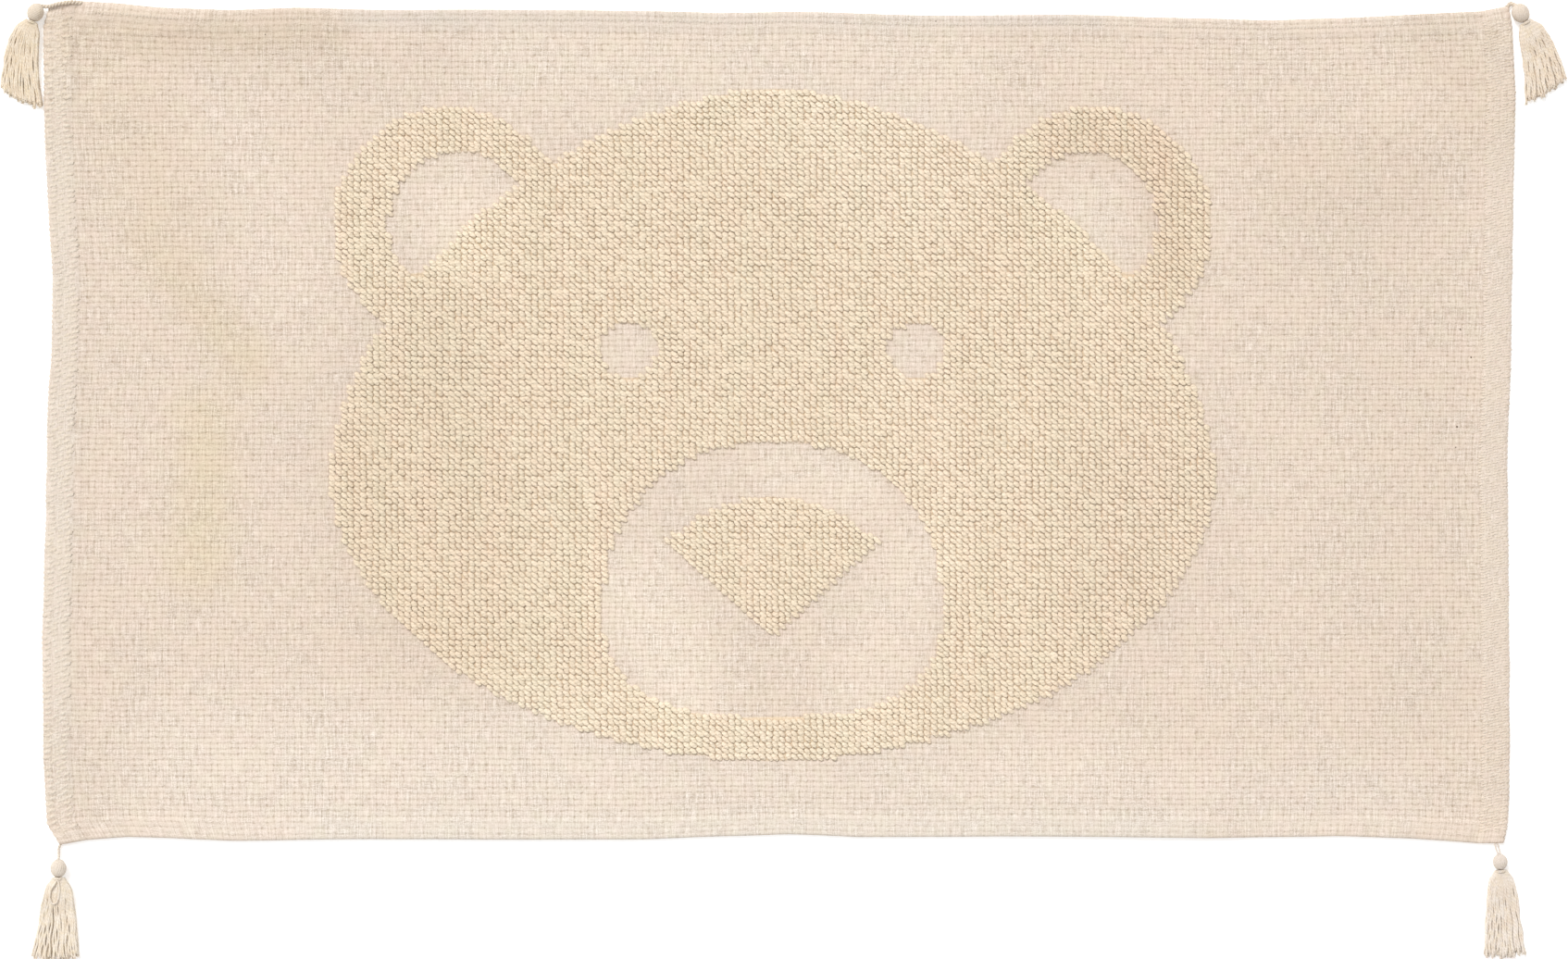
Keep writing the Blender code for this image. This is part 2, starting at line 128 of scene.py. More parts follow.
# Folds that lift the whole cloth off the floor.
FOLDS = [Band(*row) for row in (
    (-530, 262, -486, 120, 3.5, 75),
    (-486, 120, -400, 48, 3, 70),
    (-440, 12, -372, 8, 1.6, 45),
    (-590, -120, -560, -250, 2, 60),
    (-500, 318, -300, 324, 2.6, 60),
    (70, 318, 180, 236, 2.2, 70),
    (386, 160, 528, 228, 3.2, 75),
    (205, -306, 350, -316, 2.4, 55),
    (48, -100, 50, -262, 1.6, 60),
    (470, -60, 540, -190, 2, 80),
)]

# Small ridges in the upper face alone.
CREASES = [Band(*row) for row in (
    (-582, 318, -581, 270, 1.1, 7),
    (-596, 312, -592, 272, 0.6, 8),
    (-560, 338, -470, 332, 0.8, 7),
    (-548, 321, -480, 324, 0.7, 6),
)]

# Between the bear's loops the ground is mostly their own yellower yarn, which ends this far inside.
UNDER_LOOPS = (1.05, 1.0, 0.87)
GROUND_SHOWS = 11.0

# Broad, soft stretches of the rug are paler, greyer or yellower: partly the undyed yarn's own
# uneven colour, partly painted shade along the folds, the creases and the corners.
# Each row gives how many thousandths more or less of its red, green and blue light the cloth
# sends back there.
Patch = namedtuple("Patch", "from_x from_y to_x to_y reach red green blue")

PATCHES = [Patch(*row) for row in (
    (-480, -285, -180, -292, 120, 55, 85, 110), (-90, -300, 250, -300, 80, 35, 60, 80),
    (330, -305, 500, -305, 60, 10, 30, 55), (-215, 300, 130, 290, 75, 30, 50, 55),
    (-115, -140, -80, -215, 70, 80, 105, 110), (0, -35, 70, -50, 40, 55, 70, 70),
    (110, -110, 70, -215, 60, 55, 70, 75), (-262, 175, -262, 160, 66, 65, 85, 85),
    (252, 175, 252, 160, 60, 30, 45, 45), (510, 120, 530, -200, 140, -32, -32, -35),
    (410, 205, 500, 218, 70, -55, -65, -80), (540, 322, 582, 255, 60, -55, -60, -75),
    (-565, 318, -370, 322, 34, -85, -100, -140), (-555, 275, -500, 180, 80, -25, -30, -60),
    (-515, 150, -435, 50, 36, -35, -40, -110), (-470, 5, -475, -115, 46, -20, -22, -110),
    (-123, 61, -123, 60, 30, 20, 35, 40), (113, 61, 113, 60, 30, 20, 35, 40),
    (592, 300, 592, -300, 24, -45, -45, -40), (-586, 336, -586, 316, 9, -75, -95, -130),
    (-579, 312, -579, 290, 6, -70, -90, -120), (-601, 328, -572, 328, 5, -60, -80, -110),
    (586, 320, 587, 308, 9, -75, -90, -120), (0, 270, 120, 200, 90, 20, 35, 55),
    (-315, -50, -290, -160, 120, -30, -45, -60), (300, -40, 290, -120, 110, -35, -45, -40),
    (235, 236, 300, 226, 40, -50, -75, -85), (318, 200, 324, 130, 44, -50, -80, -95),
    (-288, 60, -270, -60, 110, -45, -50, -55), (110, 20, 160, -60, 60, 20, 20, 30),
    (-455, 240, -400, 130, 70, 30, 35, 40), (-350, 334, 260, 334, 15, -70, -40, -5),
    (-380, -333, 330, -333, 26, 0, 65, 105), (-590, 280, -590, -300, 24, -40, -20, -10),
)]

# ---- the bear face ----

Oval = namedtuple("Oval", "x y half_wide up down up_square down_square")

HEAD = Oval(0, -39, 363, 315, 236, 1.7, 1.95)
MUZZLE = Oval(0, -153, 139, 139, 87, 2.2, 2.6)
EAR = Oval(265, 164, 96, 96, 96, 2, 2)
INNER_EAR = Oval(257, 166, 58, 58, 58, 2, 2)
EYE = Oval(118, 61, 23, 23, 23, 2, 2)
NOSE_TOP = -59.0
NOSE_CORNER = -97.0
NOSE_TIP = -176.0
NOSE_HALF = 89.0

LOOP_SIZE = (4.1, 2.35, 0.85)     # half length, width and height of a loop of thick weft
PLUMPNESS = 1.9
LOOP_DROOP = 0.45       # its ends go down by this share of its height
LOOP_SHADE_BELOW = 0.6         # and below this share of it the yarn gets painted shade
LOOP_OVER = 0.83        # above the plain ground
LOOP_TILT_DEG = -16.0   # its near side stands up and shades the row below
LOOP_DIP_DEG = 5.0      # its right end tucks under the next loop
LOOP_LEAN_DEG = -41.0   # and from above it leans with the yarn's twist
LOOP_SCATTER_DEG = 5.0
LOOP_SHIFT = 0.45
LOOP_TURNS = 3.5
SIZE_SCATTER = 0.08
CROWN_ABOVE = 83.0      # the head's loops are three pieces: above this, between, and below the next
CHIN_BELOW = -80.0

# ---- the yarns of the hems ----

# The weft yarns that turn back in the hem of a short end: how many to a weft row, their half
# sizes, the distance of each column from the edge, and their lean at the hem's near and far end.
Turns = namedtuple("Turns", "end a_row size columns near_lean far_lean")

TURNS = (
    Turns(-1, 1, (4.4, 2.0, 1.0), (5.4, 11.6, 17.8), 22.0, 6.0),
    Turns(1, 2, (3.8, 1.0, 1.0), (4.2, 9.6, 15.0, 20.0), 8.0, 8.0),
)
TURN_SUNK = 0.40        # their middles lie this far below the hem's face
TURN_SHIFT = 1.8
TURN_SCATTER_DEG = 4.0
TURNS_REACH = 0.488     # share of the width, from the middle, in which the turns show

STITCH_SIZE = (1.7, 1.0, 0.6)   # an overcast stitch along a long hem, one to each warp
STITCH_FROM_EDGE = 7.2
STITCH_SHIFT = 0.4
STITCH_SCATTER_DEG = 6.0
STITCHES_REACH = 562.0
FAR_STITCH_SUNK = 0.25
NEAR_STITCH_SUNK = 0.40

Seed = namedtuple("Seed", "x y size")

SEED_OVER = 0.2         # a crumb's middle lies this far over the cloth
SEED_HALF_HIGH = 0.4

SEEDS = [Seed(*row) for row in (
    (557.8, -1.5, 1.9), (558.6, 78.3, 1.6), (567.7, 55.5, 1.7), (557.1, -18.2, 1.2),
    (-421, 317.2, 1.1), (-63.1, -229.5, 0.9), (16.7, -196.8, 1), (128, 332, 1),
)]

# ---- the tassels ----

HeadRow = namedtuple("HeadRow", "along half_wide half_high middle_z")

NECK_ROW = 6            # where the tie sits
COLLAR_ROW = 8          # where the skirt is as wide as its collar
BELT_ROW = 3            # where the ball is thickest
HEAD_OVAL = 0.75        # how much lower the bundle of yarns is at its sides
HEAD_ROWS = [HeadRow(*row) for row in (
    (-8.4, 2.2, 2, 6.2), (-6.6, 4.9, 4.4, 6.3), (-3.4, 6.5, 5.9, 6.4), (0.5, 7, 6.4, 6.4),
    (4.6, 6.3, 5.8, 6.2), (8.2, 4.7, 4.5, 5.8), (10.2, 4.5, 4.2, 5.5), (12.2, 6.6, 4.4, 5.1),
    (16, 9.6, 4.5, 4.6),
)]

Tassel = namedtuple("Tassel", "name end side head_x head_y turn sweep spread length "
                              "ball swirl ply eye light")

# The ball's size is a share of the largest one's, a ply is how thick the cord's plies are, an eye
# is how far they part, and light is the share of red, green and blue that the yarn sends back.
TASSELS = [Tassel(*row) for row in (
    ("far_left", -1, 1, -609, 339, -24, 18, 37, 54, 0.95, 0.9, 2.1, 0, (0.91, 0.88, 0.82)),
    ("far_right", 1, 1, 607, 338, 29.5, -12, 38, 50, 1, 0.9, 2.1, 0, (0.88, 0.85, 0.82)),
    ("near_left", -1, -1, -590.7, -362, -1.5, -1, 38, 58, 0.93, 0.35, 1.45, 0, (0.93, 0.92, 0.9)),
    ("near_right", 1, -1, 590.5, -356, 4.2, -1.5, 33, 61, 0.84, 0.35, 1.5, 0.6, (0.88, 0.87, 0.88)),
)]

# Where a cord doesn't start at the corner's tip: its first places, above the floor.
CORD_STARTS = {
    "far_left": ((-572, 346, 2.8), (-580, 346.6, 5.2), (-590, 345.2, 5.8), (-600, 342.6, 5.8)),
    "near_right": ((588.2, -341, 2.2), (588, -344, 2.8)),
}

# The end of the tie hangs in a loop on the front of the near left skirt.
LOOSE_LOOP = (
    (-591.3, -372.4, 8.8), (-593.6, -376.4, 10), (-596.6, -380.8, 9.4), (-597.6, -386.8, 8.4),
    (-596.4, -391.4, 7.7), (-594.3, -392.9, 7.5), (-591.8, -391.2, 7.7), (-590, -386.8, 8.2),
    (-589.4, -381, 8.9), (-590, -375.6, 9.3), (-590.8, -372.4, 8.6),
)
LOOSE_LOOP_THICK = 1.6

YARN_THICK = 1.9        # skirt yarn
SKIRT_YARNS = 25        # side by side
SKIRT_LAYERS = 3
LAYER_STEP = 0.88       # share of a yarn's thickness from one layer to the next
SKIRT_STEPS = 20
PARTED_AT = {"near_left": -0.2}     # where the upper yarns of a skirt lie apart, across it
PARTED_BY = 0.5
PARTED_WIDE = 0.4       # share of the half width on each side that gives way
PARTED_FROM = 0.16      # share of the length at which it begins
PARTED_LONG = 0.8
FALL_PART = 0.45        # share of the skirt in which a yarn comes down to its level
FLARE_BEND = 0.8
SWEEP_BEND = 1.7
YARN_STRAY = 1.3        # how far a yarn's tip strays sideways
YARN_WAVE = 0.55        # and how far it snakes on its way
YARN_WAVES = (1.5, 4.0)  # the fewest and the most waves of a yarn
YARN_LIFT = 0.3
SWAY_FROM = 1 / 3       # share of a yarn after which it snakes in full
LOWEST_LOOSE = 0.2      # the yarns that lie on the floor are pressed into line
TIP_SCATTER = 0.055
TIP_ROUND = 0.05        # the outermost yarns end this share of their length sooner
NARROW_AT_TIE = 0.62    # the tie squeezes the yarns to this share of their thickness
THICK_FROM = 0.25       # share of a yarn after which it has all of it again
FRAY_LONG = (1.05, 2.8)  # the cut tips open into plies: the shortest and the longest
FRAY_APART = (0.3, 0.8)  # and the least and the most that each goes aside
FRAY_ROOT = 0.3         # its root's distance from the yarn's middle
FRAY_WIDTHS = (0.7, 0.66, 0.55)
FRAY_SAG = 0.4
BALL_HALF_LONG = 8.1
BALL_LOW = 8.9          # its lower end, below the head's middle
BALL_YARNS = 22         # the yarns laid over the ball show as soft ribs
BALL_RIB = 0.05
RIB_MIDDLE = 0.6        # share of a rib that lies below the ball's mean face
BALL_LUMP = 0.03
BALL_LUMPS = 2.0
BALL_RINGS = 22
TIE_THICK = 0.8
TIE_TURNS = 3
TIE_STEPS = 18          # to a turn
TIE_ABOVE = 1.3         # from the neck up to its first turn
TIE_LAY = 0.8           # share of its thickness from one turn to the next
CORD_LAY = 5.5          # the cord's two plies turn round each other once in this
CORD_STRAIGHT = 4.2     # it leaves the corner straight, then sags a little on its way
CORD_SAG = 0.6
CORD_MIDDLE_Z = 1.9
CORD_IN_BALL = 1.5
CORD_STEP = 0.7
PLY_OFFSET = 0.42       # share of a ply's thickness from its middle to the cord's
SEAT = 0.3              # from the cloth's corner to the cord
# How long each yarn is for one turn of its twist.
SKIRT_TWIST = 3.2
OPEN_TWIST = 2.5
TIE_TWIST = 2.0
CORD_TWIST = 3.0

# ---- camera, light and floor ----

PICTURE_WIDE = 1287.4   # the photograph's width on the cloth
PICTURE_MIDDLE = (3.8, -44.8)
CAMERA_HIGH = 3200.0
FLOOR_LOW = -0.4
FLOOR_HALF = 12000.0
SKY_STRENGTH = 0.70
SUN_STRENGTH = 2.2
SUN_FROM = (-0.45, 0.75, 0.95)
SUN_SPREAD_DEG = 24.0
FLOOR_GLOW = 0.3

# ---- the yarns' surface ----

# A gap between the yarns of the plain weave, in pairs of warps and in weft rows, with the painted
# shade it gets.
Gap = namedtuple("Gap", "shift wide tall deep")

WEAVE_GAPS = (
    Gap(0.0, 0.30, 0.42, 1.0),      # between two pairs of warps
    Gap(0.5, 0.22, 0.34, 0.60),     # inside a pair
    Gap(0.0, 0.17, 9.0, 0.25),      # the faint line along a warp that joins the gaps
    Gap(0.0, 9.0, 0.28, 0.42),      # and the one between two weft rows
)
# How close the fibre streaks of the plain weave lie along its two ways, and how strong they are.
FIBRE_STREAKS = (((5.5, 0.35, 0.0), 0.42), ((1.3, 4.4, 0.0), 0.28), ((7.0, 6.0, 0.0), 0.50))
COLOUR_MIX = {"kind": "Mix", "data_type": "RGBA", "give": 2}
PLY_WAVE = math.tau / 10        # one stripe of the wave texture to each unit of the map "ply"
PLIES = 2


# ---- the uneven outline and the folds ----

def clamp(value, low=0.0, high=1.0):
    return min(max(value, low), high)


def smooth(value):
    """0 below 0, 1 above 1 and an even S between them."""
    value = clamp(value)
    return value * value * (3 - 2 * value)


def read_rows(rows, along):
    """What a table holds at a place along it, straight between its rows and even beyond them."""
    along = clamp(along, rows[0].along, rows[-1].along)
    low, high = next(pair for pair in zip(rows, rows[1:]) if along <= pair[1].along)
    share = (along - low.along) / (high.along - low.along)
    return [before + share * (after - before) for before, after in zip(low[1:], high[1:])]


def from_edges(x, y):
    """How far a point of the even cloth lies inside its short edge and its long one."""
    return LENGTH / 2 - abs(x), WIDTH / 2 - abs(y)


def place(x, y):
    """A point of the even, rectangular cloth, moved to where it lies on the real one."""
    follow_x = clamp((abs(x) - FINE_REACH_X) / (LENGTH / 2 - FINE_REACH_X))
    follow_y = clamp((abs(y) - FINE_REACH_Y) / (WIDTH / 2 - FINE_REACH_Y))
    out_x = read_rows(RIGHT_EDGE, y)[0] if x > 0 else -read_rows(LEFT_EDGE, y)[0]
    out_y = read_rows(FAR_EDGE, x)[0] if y > 0 else -read_rows(NEAR_EDGE, x)[0]
    return Vector((x + follow_x * out_x, y + follow_y * out_y))


def wander(x, y):
    """Small drift of the threads from their straight lines."""
    spot = Vector((x / WANDER_LONG, y / WANDER_SHORT, 0.0))
    drift_y = noise.noise(spot)
    drift_x = noise.noise(spot.yxz + WANDER_APART)
    return ROW_WANDER * Vector((drift_x, drift_y))


def nearness(band, x, y):
    """1 on the middle line of a band or patch, and evenly down to 0 at its reach."""
    start = Vector(band[:2])
    run = Vector(band[2:4]) - start
    point = Vector((x, y)) - start
    share = clamp(point.dot(run) / run.length_squared)
    far = (point - run * share).length / band.reach
    return 0.5 + 0.5 * math.cos(math.pi * min(far, 1.0))


def band_height(bands, x, y):
    """The highest of the bands at this place."""
    return max(band.height * nearness(band, x, y) for band in bands)


def patch_tone(x, y):
    """The share of red, green and blue light that the broad patches leave at this place."""
    whole = 0.0
    tone = Vector((0.0, 0.0, 0.0))
    for patch in PATCHES:
        weight = nearness(patch, x, y)
        whole += weight
        tone += weight * Vector(patch[5:]) / 1000
    return Vector((1.0, 1.0, 1.0)) + tone / max(1.0, whole)


def corner_seat(end, side):
    """The middle of the small flat across a corner, and the way it faces."""
    tip = place(end * LENGTH / 2, side * WIDTH / 2)
    along_side = place(end * (LENGTH / 2 - END_HEM), side * WIDTH / 2) - tip
    along_end = place(end * LENGTH / 2, side * (WIDTH / 2 - SIDE_HEM)) - tip
    half_angle = along_side.angle(along_end) / 2
    outward = -(along_side.normalized() + along_end.normalized()).normalized()
    return tip - outward * (CORNER_FLAT / 2 / math.tan(half_angle)), outward


def cloth_shift():
    """From the cloth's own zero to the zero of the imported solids, in millimetres."""
    low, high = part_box("rug_cloth")
    middle = (low + high) / 2 / MM
    left, right, near, far = (max(row.out for row in edge)
                              for edge in (LEFT_EDGE, RIGHT_EDGE, NEAR_EDGE, FAR_EDGE))
    return Vector((middle.x - (right - left) / 2, middle.y - (far - near) / 2, 0.0))


TO_FRAME = Matrix.Scale(MM, 4) @ Matrix.Translation(cloth_shift())


# ---- the bear ----

def in_oval(oval, x, y):
    """True inside an oval whose upper and lower halves have their own reach and squareness."""
    rise = y - oval.y
    reach = oval.up if rise > 0 else oval.down
    square = oval.up_square if rise > 0 else oval.down_square
    return (abs(x - oval.x) / oval.half_wide) ** square + (abs(rise) / reach) ** square <= 1.0


def in_nose(x, y):
    """True inside a triangle on its tip with an arched upper side."""
    arch = NOSE_TOP + (NOSE_CORNER - NOSE_TOP) * (x / NOSE_HALF) ** 2
    half = NOSE_HALF * (y - NOSE_TIP) / (NOSE_CORNER - NOSE_TIP)
    return y <= arch and abs(x) <= half


def bear_part(x, y):
    """The part of the face that a loop at this place belongs to, or None on the plain ground."""
    side = "left" if x < BEAR_X else "right"
    x = abs(x - BEAR_X)
    if in_oval(EYE, x, y):
        return None
    if in_oval(MUZZLE, x, y):
        return "nose" if in_nose(x, y) else None
    if in_oval(HEAD, x, y):
        if y > CROWN_ABOVE:
            return "crown"
        return "cheeks" if y > CHIN_BELOW else "chin"
    if in_oval(EAR, x, y) and not in_oval(INNER_EAR, x, y):
        return side + "_ear"
    return None


# ---- materials ----

def srgb(code):
    """A colour code as linear red, green, blue and alpha."""
    parts = [int(code[start:start + 2], 16) / 255 for start in (1, 3, 5)]
    linear = [part / 12.92 if part <= 0.04045 else ((part + 0.055) / 1.055) ** 2.4
              for part in parts]
    return (*linear, 1.0)


def add_node(tree, kind, inputs=None, give=0, **settings):
    """Add a node with its settings, each input a value or a link, and give one of its outputs.

    The kind is named without the tree's own family, which starts the name of all its kinds.
    """
    node = tree.nodes.new(tree.bl_idname.removesuffix("Tree") + kind)
    for name, value in settings.items():
        setattr(node, name, value)
    for name, value in (inputs or {}).items():
        if isinstance(value, bpy.types.NodeSocket):
            tree.links.new(value, node.inputs[name])
        else:
            node.inputs[name].default_value = value
    return node.outputs[give]


def start_material(name, roughness, sheen):
    """A plain matt material, and the function that adds a node to it."""
    material = bpy.data.materials.new(name)
    material.use_nodes = True
    shader = material.node_tree.nodes["Principled BSDF"]
    shader.inputs["Roughness"].default_value = roughness
    shader.inputs["Specular IOR Level"].default_value = 0.25
    shader.inputs["Sheen Weight"].default_value = sheen
    shader.inputs["Sheen Roughness"].default_value = 0.5
    return material, partial(add_node, material.node_tree)


def per_mm(size):
    """A texture scale for features of this size in millimetres, on coordinates in metres."""
    return 1.0 / (size * MM)


def mottle(add, colour, wide, tall, code, most):
    """Soft patches of another shade of the same yarn, up to a share of it."""
    spot = add("TexCoord", give="Object")
    spot = add("VectorMath", {0: spot, 1: (per_mm(wide), per_mm(tall), per_mm(wide))},
               operation="MULTIPLY")
    clouds = add("TexNoise", {"Vector": spot, "Scale": 1.0})
    share = add("MapRange", {"Value": clouds, "From Min": 0.40, "From Max": 0.66, "To Max": most},
                interpolation_type="SMOOTHSTEP")
    return add(inputs={"Factor": share, 6: colour, 7: srgb(code)}, **COLOUR_MIX)


def finish_yarn(material, add, colour, height, relief, strength):
    """Give a yarn its colour, times the light that the patches leave of it, and its relief."""
    tone = add("Attribute", give="Vector", attribute_name="tone")
    colour = add("VectorMath", {0: colour, 1: tone}, operation="MULTIPLY")
    normal = add("Bump", {"Height": height, "Distance": relief * MM, "Strength": strength})
    shader = material.node_tree.nodes["Principled BSDF"]
    material.node_tree.links.new(colour, shader.inputs["Base Color"])
    material.node_tree.links.new(normal, shader.inputs["Normal"])
    return material


def woven_undyed_cotton():
    """Undyed cotton in plain weave: matt and pale, with painted shade in the gaps where yarns
    cross.
    """
    material, add = start_material("woven_undyed_cotton", roughness=0.95, sheen=0.12)
    weave = add("UVMap", give="UV", uv_map="weave")
    hem = add("Attribute", give="Fac", attribute_name="hem")

    # Threads stray a little, so the gaps between them lie and gape unevenly.
    stray = add("TexNoise", {"Vector": weave, "Scale": 1.3}, give="Color")
    stray = add("VectorMath", {0: stray, 1: (0.5, 0.5, 0.5)}, operation="SUBTRACT")
    stray = add("VectorMath", {0: stray, 1: (0.8, 0.7, 0.0), 2: weave}, operation="MULTIPLY_ADD")
    # Painted shade in the gaps between warps and between weft rows, weaker where they gape less and
    # in the hems.
    gap_shade_and_depth = None
    for gap in WEAVE_GAPS:
        apart = add("VectorMath", {0: stray, 1: (gap.shift, 0.0, 0.0)})
        apart = add("VectorMath", {0: apart, 1: (0.5, 0.5, 0.5), 2: (-0.5, -0.5, -0.5)},
                    operation="WRAP")
        apart = add("VectorMath", {0: apart, 1: (1 / gap.wide, 1 / gap.tall, 0.0)},
                    operation="MULTIPLY")
        apart = add("VectorMath", {0: apart}, give="Value", operation="LENGTH")
        hole = add("MapRange", {"Value": apart, "From Min": 1, "From Max": 0, "To Max": gap.deep},
                   interpolation_type="SMOOTHSTEP")
        gap_shade_and_depth = add("Math", {0: gap_shade_and_depth, 1: hole}, operation="MAXIMUM") if gap_shade_and_depth else hole
    gape = add("TexNoise", {"Vector": weave, "Scale": 0.75})
    gape = add("MapRange", {"Value": gape, "From Min": 0.3, "From Max": 0.65, "To Min": 0.3})
    closed = add("MapRange", {"Value": hem, "To Min": 1.0, "To Max": 0.35})
    for part in (gape, closed):
        gap_shade_and_depth = add("Math", {0: gap_shade_and_depth, 1: part}, operation="MULTIPLY")

    # Warps show as fine upright streaks, the weft's fibres as level ones, with lint over both.
    both = None
    for streak, share in FIBRE_STREAKS:
        stretched = add("VectorMath", {0: weave, 1: streak}, operation="MULTIPLY")
        fibres = add("TexNoise", {"Vector": stretched, "Scale": 1.0, "Detail": 1.0})
        fibres = add("Math", {0: fibres, 1: share}, operation="MULTIPLY")
        both = add("Math", {0: both, 1: fibres}) if both else fibres
    light = add("MapRange", {"Value": both, "From Min": 0.45, "From Max": 0.75})
    colour = add(inputs={"Factor": light, 6: srgb("#BBAA98"), 7: srgb("#F2E4D7")}, **COLOUR_MIX)
    for size, code in ((60, "#E4CFBD"), (17, "#DFD2BA"), (11, "#E2CCBD")):
        colour = mottle(add, colour, size, size, code, 0.3)
    # A hem is a little bleached, and the gaps get painted shade.
    for share, most, code in ((hem, 0.12, "#EFE5DA"), (gap_shade_and_depth, 0.75, "#A08B73")):
        share = add("Math", {0: share, 1: most}, operation="MULTIPLY")
        colour = add(inputs={"Factor": share, 6: colour, 7: srgb(code)}, **COLOUR_MIX)

    height = add("Math", {0: both, 1: 0.5}, operation="MULTIPLY")
    height = add("Math", {0: height, 1: gap_shade_and_depth}, operation="SUBTRACT")
    return finish_yarn(material, add, colour, height, relief=0.5, strength=0.7)


def twisted_yarn(name, roughness, sheen, pale, other, mottles, ply_shade, twist_high,
                 fibre_mm, fibre_dark):
    """A spun yarn: fibres in two plies, with painted shade in their slanting grooves and on the
    lower part of each loop, turn and stitch.
    """
    material, add = start_material(name, roughness, sheen)
    tint = add("Attribute", give="Fac", attribute_name="tint")
    twist = add("UVMap", give="UV", uv_map="ply")
    twist = add("VectorMath", {0: twist, 1: tint})
    grooves = add("TexWave", {"Vector": twist, "Scale": PLY_WAVE, "Distortion": 0.6}, give="Fac",
                  bands_direction="DIAGONAL")
    # Painted shade in the slanting grooves between the plies.
    groove = add("MapRange", {"Value": grooves, "From Min": 0.55, "To Max": ply_shade},
                 interpolation_type="SMOOTHSTEP")
    colour = add(inputs={"Factor": tint, 6: srgb(pale), 7: srgb(other)}, **COLOUR_MIX)
    for wide, tall, code, most in mottles:
        colour = mottle(add, colour, wide, tall, code, most)
    spot = add("TexCoord", give="Object")
    lumps = add("TexNoise", {"Vector": spot, "Scale": per_mm(3.5), "Detail": 0.0})
    lumps = add("MapRange", {"Value": lumps, "From Min": 0.35, "From Max": 0.65, "To Max": 0.1})
    # Painted shade on the lower part of each loop, turn and stitch, broken up by lumps.
    deep = add("Attribute", give="Fac", attribute_name="deep")
    deep = add("Math", {0: deep, 1: lumps}, operation="MULTIPLY")
    fibres = add("TexNoise", {"Vector": spot, "Scale": per_mm(fibre_mm), "Detail": 1.0})
    fuzz = add("MapRange", {"Value": fibres, "From Min": 0.62, "From Max": 0.32,
                            "To Max": fibre_dark})
    for share, code in ((groove, "#A58E6F"), (deep, "#8E7656"), (fuzz, "#A08A6C")):
        colour = add(inputs={"Factor": share, 6: colour, 7: srgb(code)}, **COLOUR_MIX)
    height = add("Math", {0: fibres, 1: grooves}, operation="SUBTRACT")
    return finish_yarn(material, add, colour, height, relief=twist_high, strength=0.8)


def looped_cotton_yarn():
    """Thick, soft, loosely spun weft: warmer and darker than the ground, its plies just showing."""
    mottles = ((13, 160, "#F1D6BF", 0.20), (19, 220, "#E0DCC0", 0.20),
               (11, 11, "#F3D7C2", 0.16), (9, 9, "#E2DAC0", 0.15))
    return twisted_yarn("looped_cotton_yarn", 0.95, 0.18, "#F0DEC5", "#F5E5CE", mottles,
                        ply_shade=0.16, twist_high=0.2, fibre_mm=0.9, fibre_dark=0.32)


def hem_cotton_yarn():
    """The ground's own cotton where it turns back at an edge: less yellow, and pulled smooth."""
    mottles = ((21, 21, "#E6D6C0", 0.4),)
    return twisted_yarn("hem_cotton_yarn", 0.95, 0.15, "#E0D1C1", "#E7DACB", mottles,
                        ply_shade=0.12, twist_high=0.2, fibre_mm=0.9, fibre_dark=0.2)


def twisted_tassel_yarn():
    """Two-ply cotton: creamy, a little smoother than the weave, with a slanting twist."""
    mottles = ((5, 5, "#F6E8CF", 0.6), (11, 11, "#F1E0CC", 0.5))
    return twisted_yarn("twisted_tassel_yarn", 0.85, 0.15, "#FAF0E3", "#FAF0E3", mottles,
                        ply_shade=0.15, twist_high=0.25, fibre_mm=1.6, fibre_dark=0.15)


def wound_tassel_yarn():
    """The same yarn wound and pulled tight round a head: a little greyer, its twist fainter."""
    mottles = ((7, 7, "#EEE1CD", 0.5),)
    return twisted_yarn("wound_tassel_yarn", 0.9, 0.15, "#ECE1D5", "#ECE1D5", mottles,
                        ply_shade=0.15, twist_high=0.2, fibre_mm=1.0, fibre_dark=0.25)


def cotton_husk():
    """A crumb of dry seed husk that the spinning left in: dull dark brown."""
    material, add = start_material("cotton_husk", roughness=0.8, sheen=0.0)
    spot = add("TexCoord", give="Object")
    grain = add("TexNoise", {"Vector": spot, "Scale": per_mm(0.6)})
    colour = add(inputs={"Factor": grain, 6: srgb("#3E3128"), 7: srgb("#75624F")}, **COLOUR_MIX)
    shader = material.node_tree.nodes["Principled BSDF"]
    material.node_tree.links.new(colour, shader.inputs["Base Color"])
    return material


def opal_acrylic():
    """A board lit faintly from below: matt, near white, and it takes only a weak shadow."""
    material = start_material("opal_acrylic", roughness=0.9, sheen=0.0)[0]
    shader = material.node_tree.nodes["Principled BSDF"]
    shader.inputs["Base Color"].default_value = srgb("#FBFBFB")
    shader.inputs["Emission Color"].default_value = srgb("#FFFFFF")
    shader.inputs["Emission Strength"].default_value = FLOOR_GLOW
    return material


# ---- finishing pieces ----

def put_in_scene(name, data):
    thing = bpy.data.objects.new(name, data)
    bpy.context.scene.collection.objects.link(thing)
    return thing


def finish_piece(name, mesh, material, light=None):
    """A mesh in millimetres of the cloth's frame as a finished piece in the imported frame."""
    if light:
        tone = mesh.attributes.new("tone", "FLOAT_VECTOR", "POINT")
        tone.data.foreach_set("vector", light * len(mesh.vertices))
    mesh.transform(TO_FRAME)
    mesh.materials.clear()
    mesh.materials.append(material)
    mesh.shade_smooth()
    piece = put_in_scene(name, mesh)
    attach(piece, BODY)
    return piece


def to_mesh(name, bm):
    mesh = bpy.data.meshes.new(name)
    bm.to_mesh(mesh)
    bm.free()
    return mesh


def evaluated_mesh(thing):
    """The mesh of an object with its modifiers or bevel worked out; the object is removed."""
    graph = bpy.context.evaluated_depsgraph_get()
    mesh = bpy.data.meshes.new_from_object(thing.evaluated_get(graph))
    bpy.data.objects.remove(thing)
    return mesh


